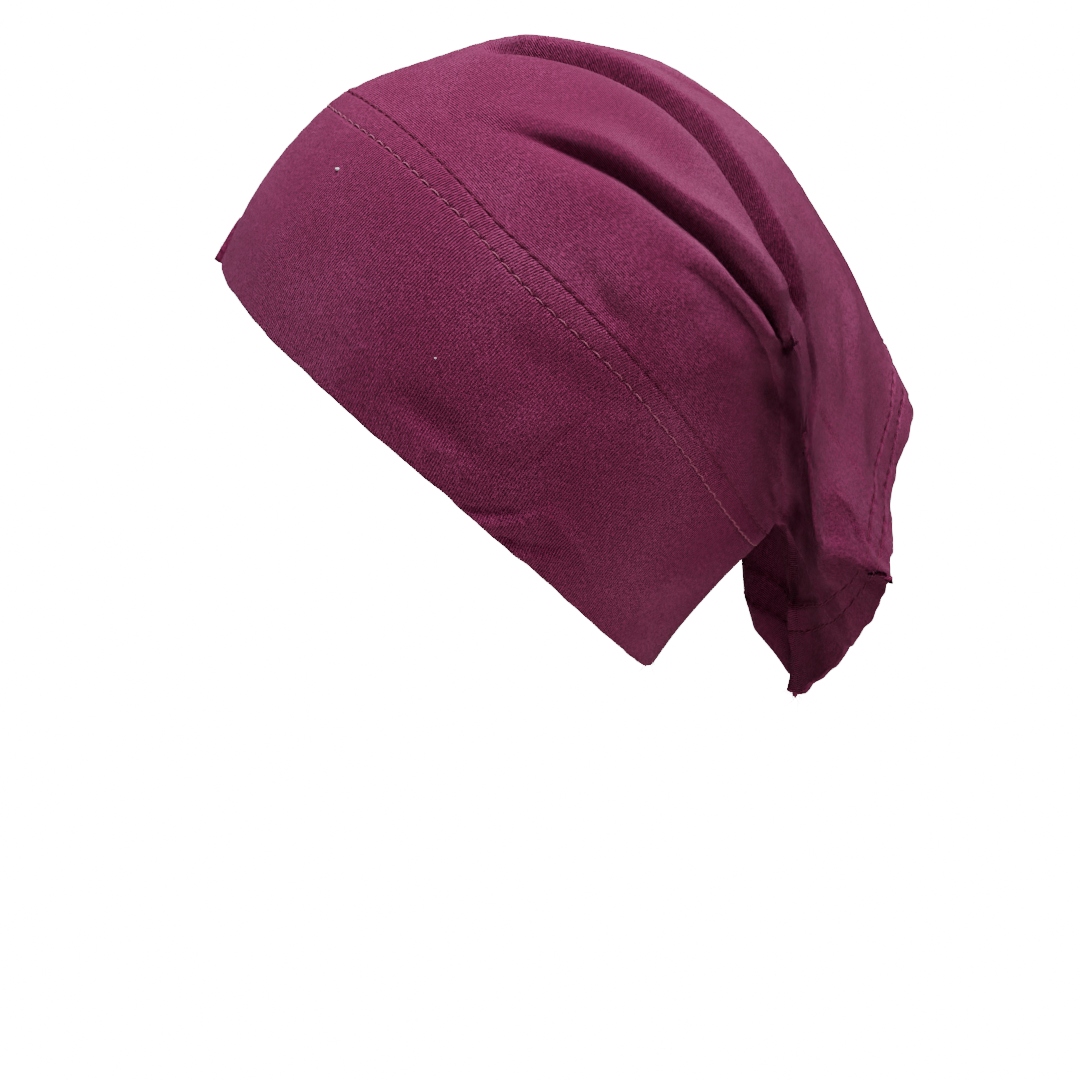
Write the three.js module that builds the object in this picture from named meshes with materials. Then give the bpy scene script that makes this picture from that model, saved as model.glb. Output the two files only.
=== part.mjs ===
// Tube cap in thin jersey, worn under a scarf: two cloth panels sewn along the crown and the nape,
// a wide turned-in front band, folds that gather at a waist behind the head, and an open tail.
// Millimetres. +X to the back of the head, -Y to the wearer's left, +Z up. The origin is where
// the top of the head touches the inside of the crown.

import * as THREE from 'three';

// Main sizes. ROLL is the usual height and width of a roll of cloth, KNOT the length of the largest knot.
const LENGTH = 221;
const HEIGHT = 217;
const WIDTH = 152;
const CLOTH = 1.2;
const FACING = 1.1;
const GAP = 0.3;
const BAND_END = 0.215;
const HEM_START = 0.958;
const SEAM_HALF_GAP = 0.16;
const ALLOWANCE_WIDTH = 6;
const ALLOWANCE_CLOTH = 1.0;
const ROLL = 4.5;
const KNOT = 7.0;
const JERSEY = new THREE.MeshStandardMaterial({ color: 0x5a1a3a, roughness: 0.85 });
JERSEY.name = 'jersey';

// Sections of the tube from the front edge (at 0) to the tail's hem (at 1).
// Places are shares of the length and the height, width is a share of the width, bow is how far
// the sides lie behind the flat section (share of the length), skew moves that bow to the nape,
// corner above 1 makes a corner at each side and point above 1 narrows the ends.
const SECTIONS = [
  { at: 0.00, topX: -0.402, topZ: -0.312, lowX: 0.228, lowZ: -0.930, width: 0.950, bow: 0.043, skew: 0.42, corner: 1.00, point: 1.04 },
  { at: 0.07, topX: -0.356, topZ: -0.220, lowX: 0.272, lowZ: -0.862, width: 0.975, bow: 0.042, skew: 0.60, corner: 1.00, point: 1.02 },
  { at: 0.14, topX: -0.295, topZ: -0.139, lowX: 0.328, lowZ: -0.790, width: 0.995, bow: 0.040, skew: 0.45, corner: 1.00, point: 1.00 },
  { at: 0.22, topX: -0.212, topZ: -0.065, lowX: 0.384, lowZ: -0.728, width: 1.000, bow: 0.038, skew: 0.30, corner: 1.00, point: 1.00 },
  { at: 0.32, topX: -0.095, topZ: -0.021, lowX: 0.394, lowZ: -0.715, width: 1.000, bow: 0.036, skew: 0.15, corner: 1.00, point: 1.00 },
  { at: 0.42, topX: 0.020, topZ: 0.009, lowX: 0.400, lowZ: -0.706, width: 0.985, bow: 0.030, skew: 0.00, corner: 1.00, point: 1.00 },
  { at: 0.52, topX: 0.130, topZ: 0.000, lowX: 0.404, lowZ: -0.702, width: 0.960, bow: 0.022, skew: 0.00, corner: 1.02, point: 1.00 },
  { at: 0.62, topX: 0.245, topZ: -0.038, lowX: 0.408, lowZ: -0.704, width: 0.920, bow: 0.010, skew: 0.00, corner: 1.06, point: 1.00 },
  { at: 0.72, topX: 0.362, topZ: -0.118, lowX: 0.414, lowZ: -0.712, width: 0.880, bow: 0.000, skew: 0.00, corner: 1.12, point: 1.00 },
  { at: 0.82, topX: 0.455, topZ: -0.242, lowX: 0.424, lowZ: -0.762, width: 0.860, bow: -0.004, skew: 0.00, corner: 1.30, point: 1.02 },
  { at: 0.91, topX: 0.530, topZ: -0.376, lowX: 0.438, lowZ: -0.872, width: 0.860, bow: -0.006, skew: 0.00, corner: 1.60, point: 1.05 },
  { at: 1.00, topX: 0.597, topZ: -0.504, lowX: 0.447, lowZ: -0.980, width: 0.880, bow: -0.006, skew: 0.00, corner: 1.95, point: 1.08 },
];

// Paths of the rolls of cloth, as [degrees round from the crown, share along the tube].
const UPPER = [[9, 0.558], [14, 0.575], [20, 0.594], [28, 0.628], [33, 0.658], [37, 0.688], [42, 0.716], [46, 0.738],
  [50, 0.757], [54, 0.776], [59, 0.793], [66, 0.8], [75, 0.8], [84, 0.797], [93, 0.798], [102, 0.8], [112, 0.81]];
const MAIN = [[32, 0.308], [38, 0.34], [42, 0.358], [48, 0.406], [54, 0.456], [60, 0.516], [64, 0.576], [68, 0.63],
  [72, 0.68], [76, 0.712]];
const LOWER = [[62, 0.45], [68, 0.504], [73, 0.548], [78, 0.594], [83, 0.627], [89, 0.653], [96, 0.674], [104, 0.69]];

// Folds. height is out of the cloth (below 0 is a valley), left and right are its widths either side
// of the path, aside moves the path to its left: all four are multiples of ROLL. sharp is 2 for a soft
// roll and near 1 for a crease, start and end are the shares of the path over which it fades, and
// flat means that the cloth is pressed towards the middle of the tube, not along its own normal.
const FOLDS = [
  { name: 'hollow behind the ear', path: [[86, 0.685], [94, 0.685], [102, 0.68], [120, 0.665], [135, 0.655], [150, 0.665], [164, 0.68]],
    height: -2.0, left: 1.1, right: 4.4, sharp: 2, start: 0.4, end: 0.35, flat: true },
  { name: 'waist, wearer left', path: [[74, 0.712], [84, 0.722], [93, 0.72], [102, 0.718], [120, 0.718], [135, 0.738], [148, 0.765], [158, 0.78]],
    height: -1.8, left: 0.95, right: 1.35, sharp: 1.6, start: 0.15, end: 0.25, flat: true },
  { name: 'waist, wearer right', path: [[302, 0.74], [292, 0.725], [280, 0.71], [268, 0.704], [255, 0.7], [240, 0.7], [220, 0.7]],
    height: -3.56, left: 1.11, right: 0.93, sharp: 1.5, start: 0.16, end: 0.32 },
  { name: 'upper roll', path: UPPER, height: 0.75, left: 1.8, right: 1.0, sharp: 2, start: 0.15, end: 0.3 },
  { name: 'crease above main roll', path: UPPER, aside: -1.0, height: -1.1, left: 0.9, right: 1.1, sharp: 1.3, start: 0.15, end: 0.3 },
  { name: 'main roll', path: MAIN, height: 1.0, left: 0.95, right: 0.95, sharp: 2, start: 0.3, end: 0.1 },
  { name: 'valley under main roll', path: MAIN, aside: -1.1, height: -1.2, left: 0.9, right: 1.1, sharp: 1.5, start: 0.3, end: 0.1 },
  { name: 'lower roll', path: LOWER, height: 0.75, left: 0.9, right: 0.9, sharp: 2, start: 0.4, end: 0.2 },
  { name: 'valley under lower roll', path: LOWER, aside: -1.0, height: -0.95, left: 0.9, right: 1.6, sharp: 1.5, start: 0.45, end: 0.25 },
  { name: 'strip at the waist', path: [[77, 0.744], [84, 0.748], [93, 0.748], [102, 0.748], [120, 0.758], [135, 0.78], [146, 0.8]],
    height: 0.5, left: 0.9, right: 0.9, sharp: 2, start: 0.1, end: 0.15, flat: true },
  { name: 'front of the tail', path: [[216, 0.775], [214, 0.82], [208, 0.88], [198, 0.95], [186, 1]],
    height: 3.11, left: 2.67, right: 2.89, sharp: 2, start: 0.3, end: 0.3 },
  { name: 'hollow of the hem', path: [[46, 0.82], [46, 1]], height: -1.11, left: 4.44, right: 4.44, sharp: 2, start: 0.9, end: 0 },
  { name: 'tuck of the hem', path: [[140, 0.86], [140, 1]], height: -0.89, left: 3.11, right: 3.11, sharp: 2, start: 0.9, end: 0 },
  { name: 'side crease of the tail', path: [[128, 0.785], [118, 0.87], [104, 0.945], [90, 1]],
    height: 0.67, left: 0.9, right: 0.9, sharp: 1.4, start: 0.25, end: 0 },
];
// The flat direction: towards the wearer's left and a little up.
const FLAT = new THREE.Vector3(0, -0.957, 0.29);

// Facets: how many steps each stretch gets, closer together where the folds are.
const ROW_STRETCHES = [
  { to: BAND_END, steps: 4 },
  { to: 0.52, steps: 8 },
  { to: 0.86, steps: 17 },
  { to: HEM_START, steps: 3 },
  { to: 1.0, steps: 2 },
];
const COLUMN_STRETCHES = [
  { to: 36, steps: 4 },
  { to: 130, steps: 21 },
  { to: 180, steps: 5 },
];

function stretches(rows) {
  const out = [0];
  let from = 0;
  for (const { to, steps } of rows) {
    for (let i = 1; i <= steps; i += 1) out.push(from + ((to - from) * i) / steps);
    from = to;
  }
  return out;
}

// A column of the section table, smooth between its rows.
function section(key, v) {
  const n = SECTIONS.length;
  let i = 0;
  while (i < n - 2 && v >= SECTIONS[i + 1].at) i += 1;
  const x = (k) => SECTIONS[k].at;
  const y = (k) => SECTIONS[k][key];
  const slope = (k) => {
    const a = Math.max(0, k - 1);
    const b = Math.min(n - 1, k + 1);
    return (y(b) - y(a)) / (x(b) - x(a));
  };
  const h = x(i + 1) - x(i);
  const t = (v - x(i)) / h;
  const t2 = t * t;
  const t3 = t2 * t;
  return (2 * t3 - 3 * t2 + 1) * y(i) + (t3 - 2 * t2 + t) * h * slope(i)
    + (3 * t2 - 2 * t3) * y(i + 1) + (t3 - t2) * h * slope(i + 1);
}

// The cloth without folds: u is degrees round from the crown towards the wearer's left.
function smoothCloth(u, v) {
  const c = Math.cos((u * Math.PI) / 180);
  const s = Math.sin((u * Math.PI) / 180);
  const topX = section('topX', v) * LENGTH;
  const topZ = section('topZ', v) * HEIGHT;
  const lowX = section('lowX', v) * LENGTH;
  const lowZ = section('lowZ', v) * HEIGHT;
  const halfWidth = (section('width', v) * WIDTH) / 2;
  const along = Math.sign(c) * Math.abs(c) ** section('corner', v);
  const across = Math.sign(s) * Math.abs(s) ** section('point', v);
  const dx = (topX - lowX) / 2;
  const dz = (topZ - lowZ) / 2;
  const d = Math.hypot(dx, dz);
  const bow = section('bow', v) * LENGTH * s * s * (1 - section('skew', v) * c);
  return new THREE.Vector3(
    (topX + lowX) / 2 + dx * along + (dz / d) * bow,
    -halfWidth * across,
    (topZ + lowZ) / 2 + dz * along - (dx / d) * bow,
  );
}

function normalOf(cloth, u, v) {
  const du = cloth(u + 0.4, v).sub(cloth(u - 0.4, v));
  const dv = cloth(u, Math.min(1, v + 0.003)).sub(cloth(u, Math.max(0, v - 0.003)));
  return du.cross(dv).normalize();
}

// Points along a fold's path, on the smooth cloth.
function foldLine({ path, aside = 0 }) {
  const points = [];
  const n = 24;
  const last = path.length - 1;
  const slope = (k, c) => {
    const a = Math.max(0, k - 1);
    const b = Math.min(last, k + 1);
    return ((path[b][c] - path[a][c]) / (b - a)) * 1;
  };
  for (let j = 0; j < n; j += 1) {
    const x = (j / (n - 1)) * last;
    const i = Math.min(last - 1, Math.floor(x));
    const t = x - i;
    const value = (c) => (2 * t ** 3 - 3 * t ** 2 + 1) * path[i][c] + (t ** 3 - 2 * t ** 2 + t) * slope(i, c)
      + (3 * t ** 2 - 2 * t ** 3) * path[i + 1][c] + (t ** 3 - t ** 2) * slope(i + 1, c);
    const u = value(0);
    const v = Math.min(1, value(1));
    points.push({ at: smoothCloth(u, v), normal: normalOf(smoothCloth, u, v) });
  }
  return points.map(({ at, normal }, j) => {
    const ahead = points[Math.min(n - 1, j + 1)].at;
    const behind = points[Math.max(0, j - 1)].at;
    const left = normal.clone().cross(ahead.clone().sub(behind)).normalize();
    return at.clone().addScaledVector(left, aside * ROLL);
  });
}

const LINES = FOLDS.map((fold) => foldLine(fold));

function ease(x) {
  const t = Math.min(1, Math.max(0, x));
  return t * t * (3 - 2 * t);
}

// The cloth with its folds.
function cloth(u, v) {
  const p = smoothCloth(u, v);
  const normal = normalOf(smoothCloth, u, v);
  const shift = new THREE.Vector3();
  FOLDS.forEach((fold, k) => {
    const line = LINES[k];
    let best = Infinity;
    let place = 0;
    let side = 1;
    for (let i = 0; i < line.length - 1; i += 1) {
      const d = line[i + 1].clone().sub(line[i]);
      const r = p.clone().sub(line[i]);
      const t = Math.min(1, Math.max(0, r.dot(d) / d.lengthSq()));
      const off = r.addScaledVector(d, -t);
      const distance = off.length();
      if (distance < best) {
        best = distance;
        place = (i + t) / (line.length - 1);
        side = (fold.flat ? FLAT : normal).clone().cross(d).dot(off);
      }
    }
    const reach = best / ((side >= 0 ? fold.left : fold.right) * ROLL);
    let share = Math.exp(-((reach * reach + 1e-4) ** (fold.sharp / 2)));
    if (fold.start) share *= ease(place / fold.start);
    if (fold.end) share *= ease((1 - place) / fold.end);
    shift.addScaledVector(fold.flat ? FLAT : normal, fold.height * ROLL * share);
  });
  return p.add(shift);
}

// A closed piece of cloth between two depths below the outer surface.
function shell(columns, rows, depth, thickness, ring) {
  const nu = columns.length;
  const nv = rows.length;
  const points = [];
  const index = [];
  for (const below of [depth, depth + thickness]) {
    for (const v of rows) {
      for (const u of columns) {
        const p = cloth(u, v).addScaledVector(normalOf(cloth, u, v), -below);
        points.push(p.x, p.y, p.z);
      }
    }
  }
  const at = (layer, j, i) => layer * nu * nv + j * nu + (i % nu);
  const quad = (a, b, c, d) => index.push(a, b, c, a, c, d);
  const spans = ring ? nu : nu - 1;
  for (let j = 0; j < nv - 1; j += 1) {
    for (let i = 0; i < spans; i += 1) {
      quad(at(0, j, i), at(0, j, i + 1), at(0, j + 1, i + 1), at(0, j + 1, i));
      quad(at(1, j, i), at(1, j + 1, i), at(1, j + 1, i + 1), at(1, j, i + 1));
    }
  }
  for (let i = 0; i < spans; i += 1) {
    quad(at(0, 0, i), at(1, 0, i), at(1, 0, i + 1), at(0, 0, i + 1));
    quad(at(0, nv - 1, i), at(0, nv - 1, i + 1), at(1, nv - 1, i + 1), at(1, nv - 1, i));
  }
  if (!ring) {
    for (let j = 0; j < nv - 1; j += 1) {
      quad(at(0, j, 0), at(0, j + 1, 0), at(1, j + 1, 0), at(1, j, 0));
      quad(at(0, j, nu - 1), at(1, j, nu - 1), at(1, j + 1, nu - 1), at(0, j + 1, nu - 1));
    }
  }
  const geometry = new THREE.BufferGeometry();
  geometry.setAttribute('position', new THREE.Float32BufferAttribute(points, 3));
  geometry.setIndex(index);
  geometry.computeVertexNormals();
  return geometry;
}

// A small knot of seam allowance: an egg at a point, with its long axis along a direction.
function knot(centre, along, long, wide, deep) {
  const geometry = new THREE.SphereGeometry(0.5, 10, 8);
  geometry.scale(deep, wide, long);
  geometry.rotateY(Math.atan2(along.x, along.z));
  geometry.translate(centre.x, centre.y, centre.z);
  return geometry;
}

// A knot that lies against the outside of the cloth.
function knotOnCloth(u, v, long, wide, deep) {
  const along = cloth(u, v + 0.01).sub(cloth(u, v)).normalize();
  const centre = cloth(u, v).addScaledVector(normalOf(cloth, u, v), deep / 2 + GAP);
  return knot(centre, along, long, wide, deep);
}

// A knot that stands off the cloth's edge at v, which is 0 or 1.
function knotOffEdge(u, v, long, wide, deep) {
  const outward = v > 0.5 ? cloth(u, 1).sub(cloth(u, 0.99)) : cloth(u, 0).sub(cloth(u, 0.01));
  outward.normalize();
  const centre = cloth(u, v).addScaledVector(normalOf(cloth, u, v), -CLOTH / 2);
  centre.addScaledVector(outward, long / 2 + GAP);
  return knot(centre, outward, long, wide, deep);
}

function piece(name, geometry) {
  const mesh = new THREE.Mesh(geometry, JERSEY);
  mesh.name = name;
  return mesh;
}

// Pieces
const rows = stretches(ROW_STRETCHES);
const half = stretches(COLUMN_STRETCHES);
const edge = (SEAM_HALF_GAP / (WIDTH / 2)) * (180 / Math.PI);
const leftColumns = half.map((u) => Math.min(180 - edge, Math.max(edge, u)));
const rightColumns = leftColumns.map((u) => 360 - u).reverse();

const group = new THREE.Group();
group.name = 'underscarf_cap';
group.add(piece('panel_left', shell(leftColumns, rows, 0, CLOTH, false)));
group.add(piece('panel_right', shell(rightColumns, rows, 0, CLOTH, false)));

// Turned-in layers of the front band and the tail's hem, on the same facets as the panels.
const ringColumns = [0.0, ...half.slice(1), ...rightColumns.slice(1, -1)];
const bandRows = [0.004, ...rows.filter((v) => v > 0.01 && v <= BAND_END + 1e-6)];
const hemRows = [...rows.filter((v) => v > HEM_START - 1e-6 && v < 0.999), 0.997];
group.add(piece('band_facing', shell(ringColumns, bandRows, CLOTH + GAP, FACING, true)));
group.add(piece('hem_facing', shell(ringColumns, hemRows, CLOTH + GAP, FACING, true)));

// Seam allowances inside, along the crown and the nape.
const bodyRows = rows.filter((v) => v > BAND_END + 0.01 && v < HEM_START - 0.01);
const allowance = (from, to) => shell([from, (from + to) / 2, to], bodyRows, CLOTH + GAP, ALLOWANCE_CLOTH, false);
const turn = ((ALLOWANCE_WIDTH / (WIDTH / 2)) * 180) / Math.PI;
group.add(piece('crown_seam_allowance', allowance(-turn * 0.3, turn * 0.7)));
group.add(piece('nape_seam_allowance', allowance(180 - turn * 0.3, 180 + turn * 0.7)));

// Knots of seam allowance where the seams end.
group.add(piece('seam_end_front', knotOnCloth(0, 0.012, KNOT, 0.86 * KNOT, 0.43 * KNOT)));
group.add(piece('seam_end_nape', knotOffEdge(180, 0, 0.57 * KNOT, 0.71 * KNOT, 0.43 * KNOT)));
group.add(piece('seam_end_tail', knotOffEdge(180, 1, 0.57 * KNOT, 0.43 * KNOT, 0.34 * KNOT)));

export default group;
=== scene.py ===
# %% [markdown]
# An underscarf tube cap in thin jersey. The real one is two panels of knitted cloth, sewn along the crown
# and the nape, with a wide turned-in band in front and a narrow hem at the tail. Worn, it stretches smooth
# in front, and its loose cloth rolls together at a waist behind.
# Blender could drape such a cap by simulation, but the folds of one worn cap are wanted here, each in its
# place. So the cloth is one function of two numbers, how far round and how far along the tube, and every
# mesh, seam and stitch below asks that same function where it lies.

# %% Load the frame that everything is fitted to
import math

import bpy
import numpy as np
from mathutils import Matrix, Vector


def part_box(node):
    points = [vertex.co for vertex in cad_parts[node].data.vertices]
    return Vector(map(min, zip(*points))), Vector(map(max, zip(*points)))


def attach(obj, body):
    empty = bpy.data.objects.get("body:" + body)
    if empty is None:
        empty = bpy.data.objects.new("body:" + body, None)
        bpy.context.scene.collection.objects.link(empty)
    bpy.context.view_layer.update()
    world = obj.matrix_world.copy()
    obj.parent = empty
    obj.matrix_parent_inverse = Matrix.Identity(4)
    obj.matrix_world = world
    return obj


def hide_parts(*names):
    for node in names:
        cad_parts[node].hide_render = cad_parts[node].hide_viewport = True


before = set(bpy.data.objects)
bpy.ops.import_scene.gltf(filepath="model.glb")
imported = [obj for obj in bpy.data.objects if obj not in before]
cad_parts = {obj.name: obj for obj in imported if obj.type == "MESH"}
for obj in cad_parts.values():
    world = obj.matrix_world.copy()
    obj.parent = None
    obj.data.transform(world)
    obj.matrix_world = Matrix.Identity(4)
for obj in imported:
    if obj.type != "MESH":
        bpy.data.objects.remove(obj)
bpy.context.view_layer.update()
MM = 0.001

# %% [markdown]
# The camera comes first, because every later choice is judged through it. The picture was taken from about
# 0.6 m with the lens tipped down by 17 degrees, so a real perspective camera is better here than a flat
# orthographic one: the near side of the cap is visibly larger than the far one.

# %% Camera
PICTURE_WIDTH = 1080
FOCAL_LENGTH_IN_PIXELS = 1800
SENSOR_WIDTH = 36
CAMERA_PLACE = (0.0123, -0.5741, 0.0141)
TIPPED_DOWN = math.radians(16.9)

camera_data = bpy.data.cameras.new("camera")
camera_data.sensor_width = SENSOR_WIDTH
camera_data.lens = SENSOR_WIDTH * FOCAL_LENGTH_IN_PIXELS / PICTURE_WIDTH
camera = bpy.data.objects.new("camera", camera_data)
camera.location = CAMERA_PLACE
camera.rotation_euler = (math.pi / 2 - TIPPED_DOWN, 0, 0)
bpy.context.scene.collection.objects.link(camera)
bpy.context.scene.camera = camera
print("lens, mm:", camera_data.lens)

# %% [markdown]
# A cap's pattern is drawn as a few sections, and the cloth runs smoothly between them. The same is done
# here. Each row of the table is one loop round the tube: where its crown and its nape lie, how wide it is,
# how far its sides bow back, and how far they slide down where the tail hangs. A cubic curve through the
# rows gives every loop between.

# %% Sections of the tube
LENGTH = 221 * MM
HEIGHT = 217 * MM
WIDTH = 152 * MM

SECTIONS = """
at    top_x   top_z   low_x  low_z   width  bow     skew  corner  point  slide
0.00  -0.402  -0.312  0.228  -0.930  0.950   0.043  0.42  1.00    1.04    0.00
0.07  -0.356  -0.220  0.272  -0.862  0.975   0.042  0.60  1.00    1.02    0.00
0.14  -0.295  -0.139  0.328  -0.790  0.995   0.040  0.45  1.00    1.00    0.00
0.22  -0.212  -0.065  0.384  -0.728  1.000   0.038  0.30  1.00    1.00    0.00
0.32  -0.095  -0.021  0.394  -0.715  1.000   0.036  0.15  1.00    1.00    0.00
0.42   0.020   0.009  0.400  -0.706  0.985   0.030  0.00  1.00    1.00    0.00
0.52   0.130   0.000  0.404  -0.702  0.960   0.022  0.00  1.02    1.00    0.00
0.62   0.245  -0.038  0.408  -0.704  0.920   0.010  0.00  1.06    1.00    0.00
0.72   0.362  -0.118  0.414  -0.712  0.880   0.000  0.00  1.12    1.00   -0.10
0.82   0.455  -0.242  0.424  -0.762  0.860  -0.004  0.00  1.30    1.02   -0.56
0.91   0.530  -0.376  0.438  -0.872  0.860  -0.006  0.00  1.45    1.05   -0.18
1.00   0.597  -0.504  0.447  -0.980  0.880  -0.006  0.00  1.70    1.08    0.13
"""


def read_table(text):
    """A text table as {column name: its numbers}."""
    head, *lines = text.strip().splitlines()
    numbers = np.array([[float(word) for word in line.split()] for line in lines])
    return dict(zip(head.split(), numbers.T))


def curve_through(x, y, at):
    """A smooth curve through the points (x, y), read at the given places."""
    slope = np.empty_like(y)
    slope[1:-1] = (y[2:] - y[:-2]) / (x[2:] - x[:-2])
    slope[0] = (y[1] - y[0]) / (x[1] - x[0])
    slope[-1] = (y[-1] - y[-2]) / (x[-1] - x[-2])
    i = np.clip(np.searchsorted(x, at, side="right") - 1, 0, len(x) - 2)
    span = x[i + 1] - x[i]
    t = (at - x[i]) / span
    ahead = (3 * t**2 - 2 * t**3) * y[i + 1] + (t**3 - t**2) * span * slope[i + 1]
    return (1 - 3 * t**2 + 2 * t**3) * y[i] + (t**3 - 2 * t**2 + t) * span * slope[i] + ahead


sections = read_table(SECTIONS)


def smooth_cloth(u, v):
    """The cloth without folds, u degrees round from the crown to the wearer's left and v along the tube."""
    s = {name: curve_through(sections["at"], sections[name], v) for name in sections if name != "at"}
    cos = np.cos(np.radians(u))
    sin = np.sin(np.radians(u))
    top_x, low_x = s["top_x"] * LENGTH, s["low_x"] * LENGTH
    top_z, low_z = s["top_z"] * HEIGHT, s["low_z"] * HEIGHT
    along = np.sign(cos) * np.abs(cos) ** s["corner"] + s["slide"] * sin**4
    across = np.sign(sin) * np.abs(sin) ** s["point"]
    dx, dz = (top_x - low_x) / 2, (top_z - low_z) / 2
    d = np.hypot(dx, dz)
    bow = s["bow"] * LENGTH * sin**2 * (1 - s["skew"] * cos)
    x = (top_x + low_x) / 2 + dx * along + dz / d * bow
    z = (top_z + low_z) / 2 + dz * along - dx / d * bow
    return np.stack([x, -s["width"] * WIDTH / 2 * across, z], -1)


def unit(vectors):
    """The same directions, each one long."""
    return vectors / np.maximum(np.linalg.norm(vectors, axis=-1, keepdims=True), 1e-12)


SMALL_TURN = 0.4
SMALL_STEP = 0.003


def slopes_of(cloth, u, v):
    """How the cloth runs at (u, v): a step round it for each degree, and along it for each unit of v."""
    v0, v1 = np.clip(v - SMALL_STEP, 0, 1), np.clip(v + SMALL_STEP, 0, 1)
    around = (cloth(u + SMALL_TURN, v) - cloth(u - SMALL_TURN, v)) / (2 * SMALL_TURN)
    along = (cloth(u, v1) - cloth(u, v0)) / (v1 - v0)[..., None]
    return around, along


def normal_of(cloth, u, v):
    """The way out of the cloth at (u, v)."""
    around, along = slopes_of(cloth, u, v)
    return unit(np.cross(around, along))


probe = smooth_cloth(np.linspace(0, 360, 361), np.full(361, 0.1))
print("round the band, mm:", round(np.linalg.norm(np.diff(probe, axis=0), axis=1).sum() / MM))

# %% [markdown]
# The folds. Loose jersey doesn't crumple, it rolls: each fold is a soft ridge or valley along a path, and
# its height fades towards the ends of the path. A displacement texture could make them too, but it can't
# follow a path or lean over, and the big roll at the side does both: its crest hangs over the valley
# below it. So each fold lifts the cloth along its normal and leans it sideways, as one row of a list. At
# the waist, where the cloth turns through every direction, a fold lifts it in one fixed direction instead.

# %% One fold
POINTS_OF_A_LINE = 32


def path_points(path):
    """A path in words, as pairs of degrees round the tube and share along it."""
    return np.array([[float(word) for word in pair.split()] for pair in path.split(",")])


def fold(name, height, left, right, sharp, start, end, path, lean=0.0, aside=0.0, out=None):
    """One fold: its sizes in mm, how sharp its top is, and where along its path it fades in and out."""
    points = path_points(path)
    places = np.arange(len(points), dtype=float)
    steps = np.linspace(0, places[-1], POINTS_OF_A_LINE)
    u = curve_through(places, points[:, 0], steps)
    v = np.minimum(1, curve_through(places, points[:, 1], steps))
    line = smooth_cloth(u, v)
    if aside:
        line += unit(np.cross(normal_of(smooth_cloth, u, v), np.gradient(line, axis=0))) * aside * MM
    sizes = [size * MM for size in (height, left, right, lean)]
    return name, line, sizes, sharp, start, end, out


# %% Main folds
# Paths of the crests and creases, from the front to the waist
UPPER = ("8 .37, 12 .40, 15 .43, 18 .466, 20 .50, 22 .53, 25 .562, 29 .592, 34 .622, 39 .647, 44 .672,"
         "48 .690, 52 .711, 53.5 .730, 55 .748, 58 .762")
BESIDE_STRIP = ("54 .742, 57 .758, 60 .770, 61 .782, 64 .785, 68 .779, 76 .769, 85 .760, 93 .753, 102 .747,"
                "112 .742")
MAIN = ("31 .302, 39 .350, 46 .403, 49 .428, 51 .449, 53 .471, 55.5 .493, 58 .515, 60.5 .538, 62 .565,"
        "63 .592, 63.5 .619, 64 .646, 64 .672, 63.5 .693, 63 .711, 64 .725")
UNDER_MAIN = ("35 .300, 43 .336, 47.5 .363, 52 .392, 56 .426, 58.5 .453, 61 .480, 64 .508, 67 .535, 69 .557,"
              "70.5 .581, 72 .606, 73.5 .630, 75 .651, 75.5 .667, 76 .682, 76 .697, 76 .712")
LOWER = "71 .49, 72 .514, 74 .536, 76 .563, 78 .595, 80 .627, 82 .652, 84 .671, 88 .684"
UNDER_LOWER = ("76 .413, 79 .475, 80 .514, 81.5 .554, 83.5 .586, 86 .614, 89 .635, 92 .655, 96 .673,"
               "104 .692")
WAIST = "78 .697, 82 .700, 88 .701, 96 .700, 108 .698, 120 .700, 137 .716, 150 .745, 158 .765"
LIP = "108 .738, 122 .732, 127 .745, 117 .778, 103 .800, 92 .822, 90 .86, 90 .90, 90 .95, 90 1"
# The way out of the waist: towards the wearer's left and a little up
OUT = (0, -0.957, 0.29)

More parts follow.
